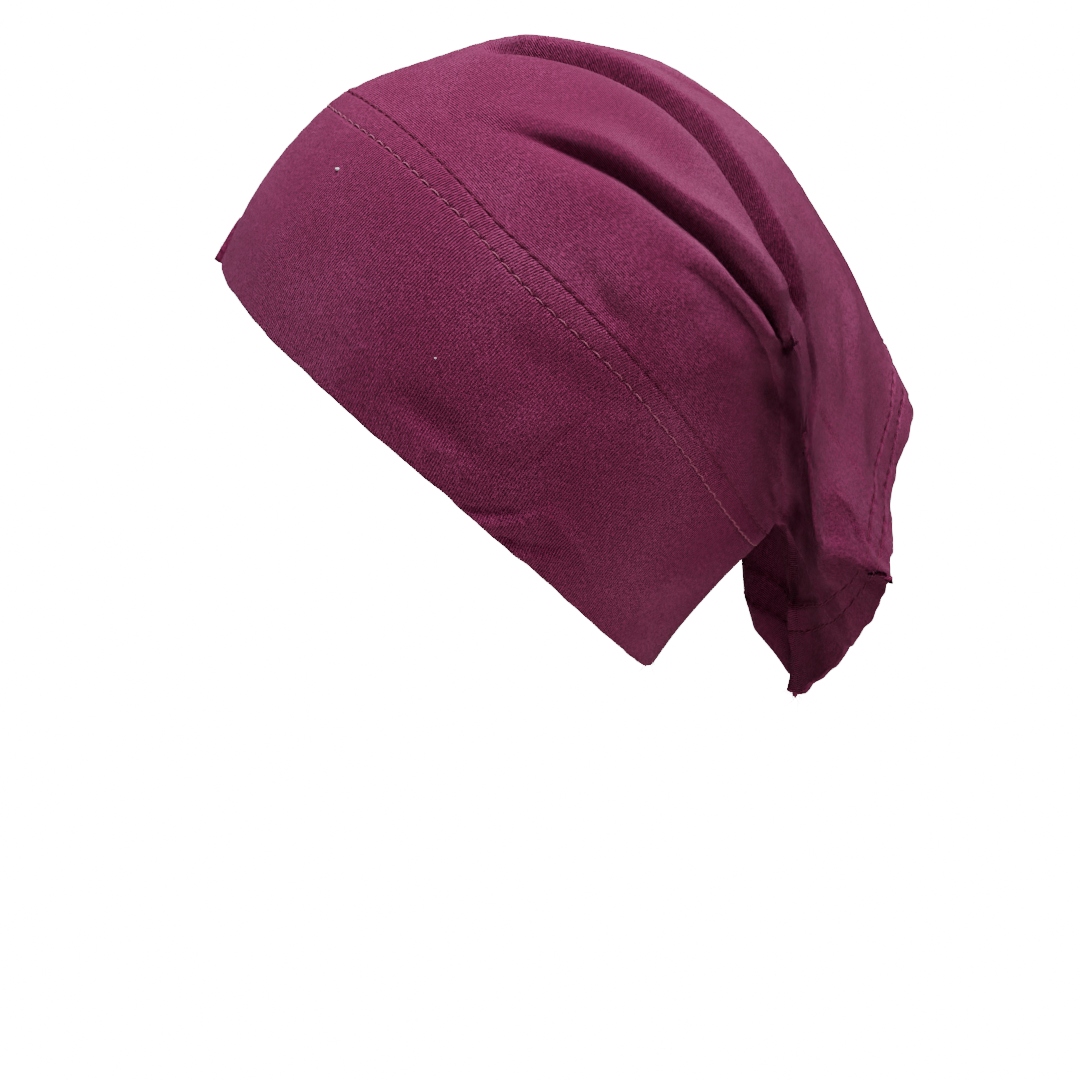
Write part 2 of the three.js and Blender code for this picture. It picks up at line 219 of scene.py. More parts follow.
# height, left, right, sharp, start, end, then the path; a height below 0 is a valley
FOLDS = [
    fold("upper roll", 2.2, 6, 3.2, 2, 0.12, 0.15, UPPER, lean=-1.2, aside=4.2),
    fold("crease above main roll", -6.0, 1.3, 3.2, 1.4, 0.1, 0.1, UPPER),
    fold("slope down to the crease", -1.4, 1.5, 8, 1.7, 0.2, 0.1, UPPER),
    fold("dip above main roll", -0.8, 6, 5, 2, 0.3, 0.15, MAIN, aside=8.5),
    fold("main roll", 2.4, 4, 6, 2, 0.3, 0.05, MAIN, lean=-1.4),
    fold("crest of the main roll", 0.6, 1.2, 1.2, 1.5, 0.2, 0.3, MAIN),
    fold("end of the main roll", 2.6, 4.5, 4.5, 2.5, 0.5, 0,
         "61 .58, 65 .62, 68 .655, 70 .68, 71 .695", out=OUT),
    fold("valley under main roll", -6.4, 1.9, 3.4, 1.4, 0.3, 0.03, UNDER_MAIN, lean=1.2),
    fold("lower roll", 1.8, 2.6, 4.0, 2, 0.35, 0.15, LOWER, lean=-0.4),
    fold("valley under lower roll", -3.8, 1.3, 5, 1.2, 0.45, 0.15, UNDER_LOWER, lean=0.6),
    fold("hollow behind the ear", -10, 3.6, 20, 2, 0.4, 0.35,
         "84 .685, 90 .685, 97 .68, 113 .665, 130 .655, 148 .665, 164 .68", out=OUT),
    fold("waist, wearer left", -10, 1.8, 8, 2, 0.1, 0.25, WAIST, lean=0.8, out=OUT),
    fold("waist, wearer right", -16, 5.0, 4.2, 1.5, 0.16, 0.32,
         "302 .74, 292 .725, 280 .71, 268 .704, 255 .7, 240 .7, 220 .7"),
    fold("strip at the waist", 3.0, 3.0, 3.0, 2.4, 0.05, 0.15,
         "72 .731, 72 .738, 76 .742, 84 .737, 92 .734, 101 .731, 116 .724", out=OUT),
    fold("crease beside the strip", -4.2, 2.2, 2.2, 2, 0.1, 0.25, BESIDE_STRIP, out=OUT),
    fold("start of the tail", 2.0, 4.2, 4.2, 2, 0.2, 0.3, BESIDE_STRIP, aside=4.2, out=OUT),
    fold("hole under the roll", -5, 1.6, 1.8, 2, 0.2, 0, "75 .680, 76.5 .695, 77.5 .710", out=OUT),
    fold("lip of the tail", 0.8, 2.8, 2.8, 1.8, 0.1, 0, LIP, out=OUT),
    fold("front of the tail", 14, 12, 13, 2, 0.3, 0.3, "216 .775, 214 .82, 208 .88, 198 .95, 186 1"),
    fold("near edge of the tail", 3.0, 4.0, 2.5, 1.3, 0.2, 0, "161 .86, 166 .90, 171 .95, 175 1"),
    fold("hollow of the hem", -5, 20, 20, 2, 0.9, 0, "46 .82, 46 1"),
    fold("lift of the hem", 3, 14, 14, 2, 0.3, 0.3,
         "125 .98, 140 .98, 155 .98, 170 .98", out=(-0.5, 0, 0.86)),
    fold("tuck of the hem", -4, 14, 14, 2, 0.9, 0, "140 .86, 140 1"),
]


def ease(x):
    """From 0 to 1 with a soft start and a soft end."""
    t = np.clip(x, 0, 1)
    return t * t * (3 - 2 * t)


# So many widths away a fold with a round top has faded, and a trace of roundness keeps a sharp one smooth
FADED = 4.5
ROUNDNESS = 1e-4


def fold_shift(points, normals, folds):
    """How far the folds move points of the smooth cloth."""
    shift = np.zeros_like(points)
    for _, line, (height, left, right, lean), sharp, start, end, out in folds:
        far = max(left, right) * FADED ** (2 / sharp)
        near = np.all((points > line.min(0) - far) & (points < line.max(0) + far), axis=-1)
        p, normal = points[near], normals[near]
        if not len(p):
            continue
        outward = normal if out is None else np.broadcast_to(out, normal.shape)
        steps = line[1:] - line[:-1]
        away = p[:, None] - line[None, :-1]
        t = np.clip((away * steps).sum(-1) / (steps * steps).sum(-1), 0, 1)
        away -= t[..., None] * steps
        distances = np.linalg.norm(away, axis=-1)
        nearest = distances.argmin(1)
        rows = np.arange(len(p))
        distance = distances[rows, nearest]
        place = (nearest + t[rows, nearest]) / len(steps)
        sideways = unit(np.cross(outward, steps[nearest]))
        on_left = (sideways * away[rows, nearest]).sum(-1) >= 0
        reach = distance / np.where(on_left, left, right)
        share = np.exp(-((reach**2 + ROUNDNESS) ** (sharp / 2)))
        if start:
            share *= ease(place / start)
        if end:
            share *= ease((1 - place) / end)
        shift[near] += share[:, None] * (height * outward + lean * sideways)
    return shift


print("main folds:", len(FOLDS), "from", FOLDS[0][0], "to", FOLDS[-1][0])

# %% [markdown]
# Small wrinkles need no solid of their own, but the light finds them: the tucks at the side where the edge
# is pulled back, the line where the turned-in layer ends, and the kinks where cloth is caught at the waist.
# They are folds like the others, only about a millimetre high, so the same function makes them.

# %% Small wrinkles
WRINKLES = [
    fold("crease up from the ear", -0.9, 0.7, 1.8, 1.2, 0.25, 0.4,
         "96 .056, 96 .077, 97 .098, 98 .127, 99 .154, 100 .18"),
    fold("swell before the crease", 0.9, 6, 5, 2, 0.3, 0.4, "93 .06, 93 .09, 94 .12, 94 .15"),
    fold("soft wave before the ear", -1.6, 5, 4, 2, 0.3, 0.3, "68 .050, 76 .052, 82 .052, 87 .045, 91 .034"),
    fold("ridge before the ear", 1.2, 2.2, 2.2, 1.6, 0.3, 0.4, "80 .034, 84 .040, 88 .040, 92 .030"),
    fold("tuck at the ear, upper", -1.6, 1.2, 2.4, 1.4, 0.15, 0.45,
         "89 .003, 93 .009, 97 .025, 100 .041, 103 .056"),
    fold("ridge under the upper tuck", 1.3, 2.6, 2.2, 1.7, 0.2, 0.4,
         "93 -.004, 97 .010, 101 .028, 104 .046, 107 .06"),
    fold("tuck at the ear, lower", -1.7, 1.2, 2.4, 1.4, 0.15, 0.45,
         "97 .000, 102 .010, 106 .022, 110 .036, 113 .05"),
    fold("ridge under the lower tuck", 1.1, 2.6, 2.2, 1.7, 0.2, 0.4,
         "102 -.004, 106 .008, 110 .022, 114 .038"),
    fold("ridge beside the ear", 1.1, 1.6, 1.8, 1.5, 0.3, 0.3,
         "103 .066, 106 .06, 110 .056, 115 .052, 120 .043"),
    fold("line of the turned layer", 0.6, 0.8, 0.8, 1.4, 0.1, 0.1,
         "105 .066, 109 .06, 113 .054, 119 .043, 126 .037, 132 .037, 150 .045, 165 .05"),
    fold("start of the roll", -0.8, 0.9, 1.4, 1.3, 0.3, 0.4, "28 .315, 32 .305, 35 .3, 41 .294"),
    fold("dent beside the band", -1.4, 3, 3.5, 1.8, 0.4, 0.4,
         "72 .34, 75 .318, 79 .304, 85 .297, 89 .305, 93 .325"),
    fold("swell above the dent", 1.0, 6, 6, 2, 0.4, 0.4, "72 .39, 77 .37, 82 .36, 88 .36, 92 .38"),
    fold("slack below the lower roll", 0.8, 5, 5, 2, 0.4, 0.4, "80 .42, 84 .46, 87 .50"),
    fold("dip over the ear", -0.9, 6, 6, 2, 0.3, 0.3, "74 .15, 84 .165, 96 .18, 106 .185"),
    fold("ridge of the tail, outer", 1.3, 5, 4, 1.8, 0.25, 0.3,
         "20 .83, 27 .863, 36 .871, 42 .885, 48 .903, 56 .923, 68 .934"),
    fold("valley of the tail", -1.1, 4, 4, 1.8, 0.25, 0.3, "30 .835, 42 .857, 50 .868, 58 .885, 66 .905"),
    fold("ridge of the tail, inner", 0.9, 4, 4, 1.8, 0.3, 0.4,
         "32 .815, 42 .836, 50 .846, 58 .858, 64 .872"),
    fold("pleat at the hem", 0.7, 1.2, 1.8, 1.4, 0.3, 0.4, "40 .900, 42 .914, 43 .930"),
    fold("wrinkle of the tail, upper", -0.8, 1.0, 1.8, 1.4, 0.3, 0.4, "62 .805, 61 .82, 61 .835, 61 .87"),
    fold("wrinkle of the tail, lower", 0.8, 1.8, 1.2, 1.4, 0.3, 0.3,
         "92 .775, 78 .82, 72 .85, 71 .87, 72 .897, 76 .918"),
    fold("wrinkle at the corner", -0.9, 1.0, 2.0, 1.4, 0.3, 0.3, "71 .88, 74 .904, 78 .923, 82 .938"),
]
print("wrinkles:", len(WRINKLES))

# %% [markdown]
# Four rows of stitches hold the layers: two along the band and two along the hem. A ruler-straight row
# would look drawn on, because real ones wander with the hand that feeds the cloth. So each is a path in the
# same two numbers as the cloth, and its length in millimetres says how many stitches it takes.

# %% Where the rows of stitches lie
ROW_PLACES = {
    "band_row_low": "0 .190, 7 .194, 23 .204, 41 .217, 61 .221, 77 .216, 89 .220, 101 .223, 117 .217,"
                    "128 .210, 148 .206, 165 .206, 180 .207",
    "band_row_high": "0 .217, 8 .221, 35 .244, 52 .251, 65 .250, 76 .257, 89 .264, 106 .273, 130 .278,"
                     "155 .279, 180 .279",
    "hem_row_high": "0 .950, 15 .953, 41 .960, 63 .950, 106 .936, 121 .912, 158 .880, 180 .878",
    "hem_row_low": "0 .972, 30 .977, 39 .985, 60 .980, 88 .967, 107 .960, 132 .938, 160 .915, 180 .912",
}


def row_at(name, u):
    """Where a row of stitches lies along the tube, u degrees round it, the same on both sides."""
    points = path_points(ROW_PLACES[name])
    turned = np.mod(u, 360)
    return curve_through(points[:, 0], points[:, 1], np.where(turned > 180, 360 - turned, turned))


STITCH = 4.4 * MM
PLACES_IN_A_DEGREE = 4
around_once = np.linspace(0, 360, 360 * PLACES_IN_A_DEGREE + 1)


def row_lengths(name):
    """Length along a row of stitches, at each place of around_once."""
    steps = np.linalg.norm(np.diff(smooth_cloth(around_once, row_at(name, around_once)), axis=0), axis=1)
    return np.concatenate([[0], np.cumsum(steps)])


ROW_LENGTHS = {name: row_lengths(name) for name in ROW_PLACES}
for name, lengths in ROW_LENGTHS.items():
    print(name, "mm:", round(lengths[-1] / MM), "stitches:", round(lengths[-1] / STITCH))

# %% [markdown]
# Sewing shapes the cloth as well. Each row of stitches presses a narrow channel, the cloth puckers between
# one stitch and the next, and the two layers of the band stand a little proud of the single cloth behind
# it. At this size bump alone looks printed on. So it is real relief, and mesh rows follow the stitches.

# %% The cloth with folds, wrinkles and sewing
CHANNEL_DEPTH = 0.5 * MM
CHANNEL_WIDTH = 0.62 * MM
PUCKER = 0.13 * MM
PUCKER_WIDTH = 1.5 * MM
LAYER_STEP = 0.45 * MM
TAIL_FROM = 0.6
SEAM_PUCKER = 0.08 * MM
SEAM_PUCKERS = 47
SEAM_PUCKER_WIDTH = 4 * MM
LENGTH_OF_A_DEGREE = 1.3 * MM


def bell(distance, width):
    """1 at no distance, fading to nothing at about two widths."""
    return np.exp(-((distance / width) ** 2))


def off_top(u):
    """Degrees from the crown seam, the same on both sides."""
    return np.abs(np.mod(u + 180, 360) - 180)


def sewing_lift(u, v, along_length):
    """Channels, puckers and the step at the end of the double layer."""
    lift = np.zeros_like(v)
    for name in ROW_PLACES:
        distance = (v - row_at(name, u)) * along_length
        phase = np.interp(np.mod(u, 360), around_once, ROW_LENGTHS[name]) / STITCH
        loose = 1.9 - 1.5 * ease((off_top(u) - 55) / 40) if name.startswith("hem") else 1.0
        lift -= loose * CHANNEL_DEPTH * bell(distance, CHANNEL_WIDTH)
        lift -= loose * PUCKER * np.cos(2 * np.pi * phase) * bell(distance, PUCKER_WIDTH)
    behind = (v - row_at("band_row_high", u)) * along_length
    lift -= LAYER_STEP * ease((behind - 0.5 * MM) / (3 * MM))
    before_hem = (row_at("hem_row_high", u) - v) * along_length
    lift -= LAYER_STEP * ease((before_hem - 0.3 * MM) / (2 * MM)) * (v > TAIL_FROM)
    lift += LAYER_STEP * (v > TAIL_FROM)
    seam = np.minimum(np.mod(u, 180), 180 - np.mod(u, 180)) * LENGTH_OF_A_DEGREE
    lift += SEAM_PUCKER * np.sin(2 * np.pi * v * SEAM_PUCKERS) * bell(seam, SEAM_PUCKER_WIDTH)
    return lift


def slack_lift(u, v):
    """Slow waves of cloth that isn't pulled tight: faint on the band, more towards the tail."""
    a = np.radians(u)
    waves = (np.sin(11 * a + 23 * v) + np.sin(17 * a - 31 * v + 1.3) + np.sin(7 * a + 41 * v + 2.1)
             + 0.6 * np.sin(29 * a + 17 * v + 0.7))
    edge = np.sin(19 * a + 0.4) + 0.7 * np.sin(31 * a + 2.0) + 0.5 * np.sin(47 * a + 4.1)
    edge *= 0.3 + 0.9 * bell(off_top(u) - 112, 28)
    slack = 0.16 * waves * (0.35 + 1.4 * ease((v - 0.25) / 0.5)) + 0.25 * edge * bell(v, 0.03)
    return slack * MM


def cloth(u, v):
    """The outer face of the cloth."""
    p = smooth_cloth(u, v)
    around, along = slopes_of(smooth_cloth, u, v)
    normal = unit(np.cross(around, along))
    lift = sewing_lift(u, v, np.linalg.norm(along, axis=-1)) + slack_lift(u, v)
    a = np.radians(u)
    ragged = np.sin(13 * a + 1.1) + 0.8 * np.sin(29 * a + 0.3) + 0.6 * np.sin(53 * a + 2.2)
    ragged *= (0.12 * bell(v, 0.02) + 0.3 * bell(1 - v, 0.015)) * MM
    lift = normal * lift[..., None] + unit(along) * ragged[..., None]
    return p + fold_shift(p, normal, FOLDS + WRINKLES) + lift


# %% [markdown]
# Each panel is a closed shell: a fine outer face, an inner face at half the steps, and a rim that joins
# them. The edges aren't cut square, because the cloth is folded over there, so the outer face runs down in
# a quarter circle. Columns are closer where the folds are, and rows bunch up along the stitches.

# %% Grid of the cloth
# Degrees round, and the steps since the stop before
COLUMN_STOPS = [(0, 0), (36, 46), (130, 186), (180, 56)]
SEAM_EDGE = 0.08
BESIDE_SEAM = np.array([0.35, 0.75, 1.2])
BESIDE_ROW = 0.006


def grid_columns():
    """Degrees round the left side from seam to seam, an even number of steps."""
    parts = [np.array([0.0])]
    for (start, _), (stop, steps) in zip(COLUMN_STOPS, COLUMN_STOPS[1:]):
        parts.append(np.linspace(start, stop, steps + 1)[1:])
    u = np.concatenate(parts)
    u[0], u[-1] = SEAM_EDGE, 180 - SEAM_EDGE
    return np.sort(np.concatenate([u, BESIDE_SEAM, 180 - BESIDE_SEAM]))


def grid_rows(u):
    """Places along the tube for each column: rows follow the stitches and bunch up beside them."""
    low, high = row_at("band_row_low", u), row_at("band_row_high", u)
    hem_high, hem_low = row_at("hem_row_high", u), row_at("hem_row_low", u)
    stops = [
        (0 * u, 0), (0 * u + 0.012, 8), (low - BESIDE_ROW, 32), (low + BESIDE_ROW, 12),
        (high - BESIDE_ROW, 6), (high + BESIDE_ROW, 12), (0 * u + 0.52, 44), (0 * u + 0.80, 100),
        (hem_high - BESIDE_ROW, 18), (hem_high + BESIDE_ROW, 8), (hem_low - BESIDE_ROW, 4),
        (hem_low + BESIDE_ROW, 6), (0 * u + 0.992, 2), (0 * u + 1.0, 6),
    ]
    rows = [stops[0][0]]
    for (start, _), (stop, steps) in zip(stops, stops[1:]):
        for k in range(1, steps + 1):
            rows.append(start + (stop - start) * k / steps)
    return np.stack(rows)


left_u = grid_columns()
left_v = grid_rows(left_u)
print("columns, rows of a panel:", len(left_u), len(left_v))

# %% Measures of a grid
def grid_normals(p, ring):
    """Outward normals of a grid of points, rows along the tube and columns round it."""
    if ring:
        around = np.roll(p, -1, 1) - np.roll(p, 1, 1)
    else:
        around = np.gradient(p, axis=1)
    return unit(np.cross(around, np.gradient(p, axis=0)))


def lengths_along(p):
    """Distance along each column from its first row, and to its last."""
    steps = np.linalg.norm(np.diff(p, axis=0), axis=-1)
    from_start = np.concatenate([np.zeros((1, p.shape[1])), np.cumsum(steps, axis=0)])
    return from_start, from_start[-1] - from_start


def rounded(distance, radius):
    """How far a round edge of that radius has run down, at a distance from the edge."""
    x = np.clip(radius - distance, 0, radius)
    return radius - np.sqrt(radius**2 - x**2)


# %% Meshes from points and faces
WALES = 740


def rim(fine, coarse, flip):
    """Faces between the fine edge of the outer face and the coarse edge of the inner one."""
    faces = []
    for k in range(len(coarse) - 1):
        a, b, c = fine[2 * k], fine[2 * k + 1], fine[2 * k + 2]
        d, e = coarse[k], coarse[k + 1]
        faces += [(a, b, d), (b, e, d), (b, c, e)]
    return [face[::-1] for face in faces] if flip else faces


def add_mesh(name, vertices, faces, uv=None):
    """A mesh object from lists of points and faces, with a UV map where one is given for each point."""
    mesh = bpy.data.meshes.new(name)
    mesh.from_pydata([tuple(p) for p in vertices], [], faces)
    if uv is not None:
        corners = np.empty(len(mesh.loops), dtype=np.int64)
        mesh.loops.foreach_get("vertex_index", corners)
        at_corners = uv[corners]
        starts = np.empty(len(mesh.polygons), dtype=np.int64)
        mesh.polygons.foreach_get("loop_start", starts)
        sizes = np.diff(np.append(starts, len(corners)))
        widest = np.repeat(np.maximum.reduceat(at_corners[:, 0], starts), sizes)
        at_corners[:, 0] += WALES * (widest - at_corners[:, 0] > WALES / 2)
        mesh.uv_layers.new(name="knit").data.foreach_set("uv", at_corners.ravel())
    mesh.polygons.foreach_set("use_smooth", [True] * len(mesh.polygons))
    mesh.update()
    piece = bpy.data.objects.new(name, mesh)
    bpy.context.scene.collection.objects.link(piece)
    print(name, "triangles:", sum(len(face) - 2 for face in faces))
    return piece


# %% A shell of cloth
CLOTH = 1.2 * MM
EDGE_THICKNESS = 2.4 * MM
THINNING = 2.6 * MM
SEAM_RADIUS = 0.9 * MM
SEAM_DEPTH = 0.95


def past_band(u, v, from_start):
    """Distance along each column from the upper row of the band."""
    columns = range(u.shape[1])
    at_row = [np.interp(row_at("band_row_high", u[0, j]), v[:, j], from_start[:, j]) for j in columns]
    return from_start - np.array(at_row)


def quads(grid):
    """The four-cornered faces of a grid of point numbers."""
    corners = [grid[:-1, :-1], grid[:-1, 1:], grid[1:, 1:], grid[1:, :-1]]
    return np.stack(corners, -1).reshape(-1, 4).tolist()


def cloth_shell(name, u, v, depth, thickness, ring=False, edge=0.0, edge_at=(False, False)):
    """A closed piece of cloth between two depths, from grids of u and v with even numbers of steps."""
    p = cloth(u, v)
    normal = grid_normals(p, ring)
    from_start, to_end = lengths_along(p)
    outer = np.full(u.shape, depth)
    inner = np.full(u.shape, depth + thickness)
    radius = (edge if edge else thickness) / 2
    for distance, folded in ((from_start, edge_at[0]), (to_end, edge_at[1])):
        if folded:
            inner += (edge - thickness) * (1 - ease((distance - radius) / THINNING))
        run = rounded(distance, radius)
        outer = np.maximum(outer, depth + run)
        inner = inner - run
    if not ring:
        steps = np.linalg.norm(np.diff(p, axis=1), axis=-1)
        from_seam = np.concatenate([np.zeros((len(p), 1)), np.cumsum(steps, axis=1)], axis=1)
        for distance in (from_seam, from_seam[:, -1:] - from_seam):
            outer = np.maximum(outer, depth + rounded(distance, SEAM_RADIUS) * SEAM_DEPTH)
    fine = np.arange(u.size).reshape(u.shape)
    half = inner[::2, ::2]
    coarse = u.size + np.arange(half.size).reshape(half.shape)
    if ring:
        fine = np.concatenate([fine, fine[:, :1]], axis=1)
        coarse = np.concatenate([coarse, coarse[:, :1]], axis=1)
    points = np.concatenate([(p - normal * outer[..., None]).reshape(-1, 3),
                             (p - normal * inner[..., None])[::2, ::2].reshape(-1, 3)])
    uv_grid = np.stack([u / 360 * WALES, past_band(u, v, from_start) / MM], -1)
    uv = np.concatenate([uv_grid.reshape(-1, 2), uv_grid[::2, ::2].reshape(-1, 2)])
    faces = quads(fine) + quads(coarse.T)
    faces += rim(fine[0], coarse[0], True) + rim(fine[-1], coarse[-1], False)
    if not ring:
        faces += rim(fine[:, 0], coarse[:, 0], False) + rim(fine[:, -1], coarse[:, -1], True)
    return add_mesh(name, points, faces, uv)


# %% [markdown]
# The two panels. The wearer's right panel has the same rows and columns as the left one, seen in a mirror.
# A mirror modifier would give both sides the same folds, but the roll and its creases lie on the left only,
# so each side is worked out from the cloth itself.

# %% Panels
right_u = 360 - left_u[::-1]
panel_grids = {
    "panel_left": (np.broadcast_to(left_u, left_v.shape), left_v),
    "panel_right": (np.broadcast_to(right_u, left_v.shape), left_v[:, ::-1]),
}
cloth_pieces = []
for node, (u, v) in panel_grids.items():
    panel = cloth_shell(node + "_jersey", u, v, 0.0, CLOTH, edge=EDGE_THICKNESS, edge_at=(True, True))
    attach(panel, "root")
    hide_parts(node)
    cloth_pieces.append(panel)

# %% [markdown]
# Inside lie layers that the outside hides: the turned-in cloth of the band and of the hem, and the seam
# allowances. They are built plainly, a little clear of the panels, and they show when the cap is looked
# at from below.

# %% Turned-in layers
GAP = 0.15 * MM
INSIDE = CLOTH + GAP
LAYER = 0.9 * MM


def between(first, last, steps):
    """A grid of v that runs from one row to another."""
    return np.stack([first + (last - first) * k / steps for k in range(steps + 1)])


u = np.linspace(0, 360, 360, endpoint=False)
band_v = between(0 * u + 0.016, row_at("band_row_high", u) + 0.006, 48)
hem_v = between(row_at("hem_row_high", u) - 0.004, 0 * u + 0.986, 14)
inside_layers = {"band_facing": band_v, "hem_facing": hem_v}
for node, v in inside_layers.items():
    layer = cloth_shell(node + "_jersey", np.broadcast_to(u, v.shape), v, INSIDE, LAYER, ring=True)
    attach(layer, "root")
    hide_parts(node)
    cloth_pieces.append(layer)

# %% Seam allowances
ALLOWANCE = 6 * MM
ALLOWANCE_COLUMNS = 7
ALLOWANCE_ROWS = 121
PAST_THE_BAND = 0.29
turn = math.degrees(ALLOWANCE / (WIDTH / 2))
for node, centre, before_hem in (("crown_seam_allowance", 0, 0.945), ("nape_seam_allowance", 180, 0.87)):
    u = np.linspace(centre - 0.3 * turn, centre + 0.7 * turn, ALLOWANCE_COLUMNS)
    rows = np.linspace(PAST_THE_BAND, before_hem, ALLOWANCE_ROWS)
    v = np.repeat(rows[:, None], ALLOWANCE_COLUMNS, axis=1)
    allowance = cloth_shell(node + "_jersey", np.broadcast_to(u, v.shape), v, INSIDE, LAYER)
    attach(allowance, "root")
    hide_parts(node)
    cloth_pieces.append(allowance)

# %% [markdown]
# Stitches. Each is a short arc of thread that comes up through the cloth, lies over it with a slight twist,
# and dives in again. They are real tubes, joined into one mesh for each row, because a row seen from the
# side shows the thread standing on the cloth.

# %% Tubes
def tube(points, radius, sides=6):
    """Vertices and faces of a closed tube along points; radius is a number, or one for each point."""
    points = np.asarray(points, float)
    radius = np.broadcast_to(radius, len(points))
    tangent = unit(np.gradient(points, axis=0))
    helper = np.array([0.0, 0.0, 1.0]) if abs(tangent[0][2]) < 0.9 else np.array([1.0, 0.0, 0.0])
    vertices, faces = [], []
    side = helper
    for centre, direction, r in zip(points, tangent, radius):
        side = unit(side - direction * (side @ direction))
        other = np.cross(direction, side)
        for k in range(sides):
            a = 2 * math.pi * k / sides
            vertices.append(centre + r * (math.cos(a) * side + math.sin(a) * other))
    for j in range(len(points) - 1):
        for k in range(sides):
            a, b = j * sides + k, j * sides + (k + 1) % sides
            faces.append((a, b, b + sides, a + sides))
    faces.append(tuple(range(sides))[::-1])
    faces.append(tuple(range(len(vertices) - sides, len(vertices))))
    return vertices, faces


def join(parts):
    """Several (vertices, faces) as one."""
    vertices, faces = [], []
    for part_vertices, part_faces in parts:
        offset = len(vertices)
        vertices += list(part_vertices)
        faces += [tuple(offset + i for i in face) for face in part_faces]
    return vertices, faces


# %% Rows of stitches
THREAD = 0.24 * MM
ARC_POINTS = 11
DIVE = 0.28 * MM


def stitch_row(name, rise, sway, slant, seed):
    """The stitches of a row, as one mesh: how high they rise, and how far they sway and slant, in mm."""
    rng = np.random.default_rng(seed)
    lengths = ROW_LENGTHS[name]
    count = round(lengths[-1] / STITCH)
    t = np.linspace(0, 1, ARC_POINTS)
    parts = []
    for k in range(count):
        start = (k + 0.06 + rng.uniform(-0.03, 0.03)) * lengths[-1] / count
        stop = (k + 0.96 + rng.uniform(-0.03, 0.03)) * lengths[-1] / count
        u = np.interp(start + (stop - start) * t, lengths, around_once)
        v = row_at(name, u)
        p = cloth(u, v)
        around, along = slopes_of(cloth, u, v)
        normal = unit(np.cross(around, along))
        swing = (sway * rng.uniform(0.7, 1.3) * np.sin(math.pi * t) + slant * (t - 0.5)) * MM
        height = rise * MM * rng.uniform(0.85, 1.2) * (np.sin(math.pi * t) ** 0.6) - DIVE
        p = p + normal * height[:, None] + unit(along) * swing[:, None]
        parts.append(tube(p, THREAD))
    row = add_mesh(name, *join(parts))
    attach(row, "root")
    return row


pale_row = stitch_row("band_row_low", rise=0.55, sway=0.45, slant=0.15, seed=1)
dark_rows = [
    stitch_row("band_row_high", rise=0.5, sway=0.4, slant=0.2, seed=2),
    stitch_row("hem_row_high", rise=0.45, sway=0.2, slant=0.5, seed=3),
    stitch_row("hem_row_low", rise=0.45, sway=0.2, slant=0.5, seed=4),
]

# %% [markdown]
# Where a seam ends, the overlocked cloth isn't sewn down: it sticks out as a small rough knot with loose
# ends of thread. In front it is a small flap that hugs the crown seam, and at the nape and the tail a lumpy
# egg at the place of its solid. The threads are thin wavy tubes.

# %% Rough lumps and loose threads
def lumpy_egg(centre, size, seed, segments=20, rings=14):
    """A closed rough egg."""
    rng = np.random.default_rng(seed)
    waves = rng.normal(0, 1, (8, 3)) * 3.2
    shifts = rng.uniform(0, 6.28, 8)
    vertices, faces = [], []
    for j in range(1, rings):
        for i in range(segments):
            a, b = math.pi * j / rings, 2 * math.pi * i / segments
            d = np.array([math.sin(a) * math.cos(b), math.sin(a) * math.sin(b), math.cos(a)])
            bump = 1 + 0.045 * sum(np.sin(waves @ d + shifts))
            vertices.append(centre + d * size / 2 * bump)
    top, low = len(vertices), len(vertices) + 1
    vertices += [centre + np.array([0, 0, 0.5]) * size, centre - np.array([0, 0, 0.5]) * size]
    for i in range(segments):
        n = (i + 1) % segments
        faces.append((top, i, n))
        faces.append((low, (rings - 2) * segments + n, (rings - 2) * segments + i))
        for j in range(rings - 2):
            a, b = j * segments + i, j * segments + n
            faces.append((a, a + segments, b + segments, b))
    return vertices, faces


def loose_thread(start, direction, length, seed, radius=0.13 * MM, wave=0.8 * MM):
    """A thin wavy end of thread."""
    rng = np.random.default_rng(seed)
    t = np.linspace(0, 1, 14)[:, None]
    direction = unit(np.array(direction, float))
    side = unit(np.cross(direction, [0.3, 1, 0.2]))
    other = np.cross(direction, side)
    a, b = rng.uniform(0, 6.28, 2)
    bend = side * np.sin(5 * t + a) + other * np.sin(7 * t + b) - side * math.sin(a) - other * math.sin(b)
    points = start + direction * length * t + bend * wave * t
    return tube(points, radius * (1 - 0.5 * t[:, 0]), 5)


# %% Seam ends
FLAP_FROM = 0.048
SHARE_OF_BOX = 0.92


def knot_body(node, low, high, seed):
    """The lump itself: in front a flap that hugs the crown seam, elsewhere a rough egg."""
    if node == "seam_end_front":
        upper, lower = cloth(np.array([0.0, 0.0]), np.array([FLAP_FROM, 0.0]))
        t = np.linspace(0, 1, 9)[:, None]
        line = upper + (lower - upper) * t + np.array([-0.6, 0, -0.3]) * MM * t
        return tube(line, (0.5 + 1.7 * t[:, 0] ** 0.7) * MM, 12)
    return lumpy_egg((low + high) / 2, (high - low) * SHARE_OF_BOX, seed)


end_pieces = []
for node, seed in (("seam_end_front", 11), ("seam_end_nape", 12), ("seam_end_tail", 13)):
    low, high = (np.array(corner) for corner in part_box(node))
    centre = (low + high) / 2
    parts = [knot_body(node, low, high, seed)]
    rng = np.random.default_rng(seed)
    for k in range(3 if node == "seam_end_front" else 8):
        direction = rng.normal(0, 1, 3) + np.array([0, -0.4, -0.6])
        parts.append(loose_thread(centre, direction, rng.uniform(3, 5) * MM, seed * 10 + k))
    knot = add_mesh(node + "_knot", *join(parts))
    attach(knot, "root")
    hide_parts(node)
    end_pieces.append(knot)

